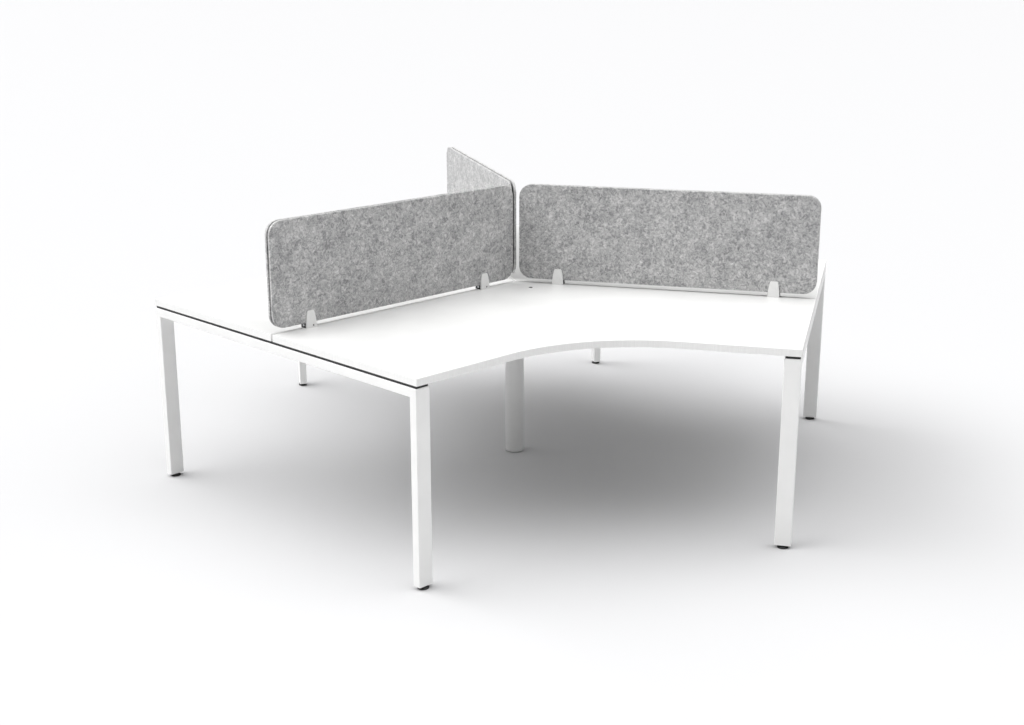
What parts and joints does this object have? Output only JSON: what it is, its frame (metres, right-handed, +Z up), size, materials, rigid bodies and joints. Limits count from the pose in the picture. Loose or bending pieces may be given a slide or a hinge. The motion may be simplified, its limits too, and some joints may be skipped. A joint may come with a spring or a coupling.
{
  "type": "cubicle workstation",
  "caption": "Office workstation of angled white worktops round a centre post, with grey felt desk screens, open steel legs and levelling feet.",
  "frame": {"origin": "on the floor at the axis of the centre post, at the underside of its levelling foot", "axes": "+Z up; -Y towards the user at the front seat, on the middle of worktop 1; +X to that user's right"},
  "size_m": [2.8424, 2.4616, 1.123],
  "materials": {
    "melamine_board": "satin white melamine face on particle board",
    "edge_band": "matt plastic edge band",
    "black_plastic": "matt moulded",
    "white_steel": "satin powder coat",
    "dark_steel": "black coat",
    "zinc_steel": "bright zinc plate",
    "grey_felt": "needled felt, mottled",
    "core_board": "matt dark board",
    "white_bracket": "smooth powder coat"
  },
  "bodies": {
    "frame": {"worktop_1": "melamine_board", "worktop_2": "melamine_board", "worktop_3": "melamine_board", "edge_band_1": "edge_band", "edge_band_2": "edge_band", "edge_band_3": "edge_band", "cable_hole_liners": "black_plastic", "end_beam_1": "white_steel", "end_beam_2": "white_steel", "end_beam_3": "white_steel", "leg_1a": "white_steel", "leg_1b": "white_steel", "leg_2a": "white_steel", "leg_2b": "white_steel", "leg_3a": "white_steel", "leg_3b": "white_steel", "leg_plugs": "dark_steel", "centre_post": "white_steel", "post_base": "dark_steel", "post_head": "white_steel", "rail_1": "white_steel", "rail_2": "white_steel", "rail_3": "white_steel", "rail_end_plates": "white_steel", "frame_bolts": "zinc_steel", "beam_strips": "black_plastic", "top_spacers": "black_plastic", "worktop_screws": "zinc_steel", "felt_panel_1a": "grey_felt", "felt_panel_1b": "grey_felt", "felt_panel_2a": "grey_felt", "felt_panel_2b": "grey_felt", "felt_panel_3a": "grey_felt", "felt_panel_3b": "grey_felt", "screen_core_1": "core_board", "screen_core_2": "core_board", "screen_core_3": "core_board", "bracket_plates_1": "white_bracket", "bracket_plates_2": "white_bracket", "bracket_plates_3": "white_bracket", "bracket_blocks": "black_plastic", "clamp_plates": "zinc_steel", "clamp_screws": "zinc_steel", "bracket_screws": "dark_steel", "block_end_screws": "zinc_steel"},
    "foot_1a": {"foot_pad_1a": "black_plastic", "foot_stem_1a": "zinc_steel"},
    "foot_1b": {"foot_pad_1b": "black_plastic", "foot_stem_1b": "zinc_steel"},
    "foot_2a": {"foot_pad_2a": "black_plastic", "foot_stem_2a": "zinc_steel"},
    "foot_2b": {"foot_pad_2b": "black_plastic", "foot_stem_2b": "zinc_steel"},
    "foot_3a": {"foot_pad_3a": "black_plastic", "foot_stem_3a": "zinc_steel"},
    "foot_3b": {"foot_pad_3b": "black_plastic", "foot_stem_3b": "zinc_steel"},
    "foot_centre": {"centre_foot_pad": "black_plastic", "centre_foot_stem": "zinc_steel"}
  },
  "joints": [
    {"name": "foot_1a_height", "type": "slide", "parent": "frame", "child": "foot_1a", "axis": [0, 0, -1], "range_m": [0, 0.015]},
    {"name": "foot_1b_height", "type": "slide", "parent": "frame", "child": "foot_1b", "axis": [0, 0, -1], "range_m": [0, 0.015]},
    {"name": "foot_2a_height", "type": "slide", "parent": "frame", "child": "foot_2a", "axis": [0, 0, -1], "range_m": [0, 0.015]},
    {"name": "foot_2b_height", "type": "slide", "parent": "frame", "child": "foot_2b", "axis": [0, 0, -1], "range_m": [0, 0.015]},
    {"name": "foot_3a_height", "type": "slide", "parent": "frame", "child": "foot_3a", "axis": [0, 0, -1], "range_m": [0, 0.015]},
    {"name": "foot_3b_height", "type": "slide", "parent": "frame", "child": "foot_3b", "axis": [0, 0, -1], "range_m": [0, 0.015]},
    {"name": "foot_centre_height", "type": "slide", "parent": "frame", "child": "foot_centre", "axis": [0, 0, -1], "range_m": [0, 0.015]}
  ]
}
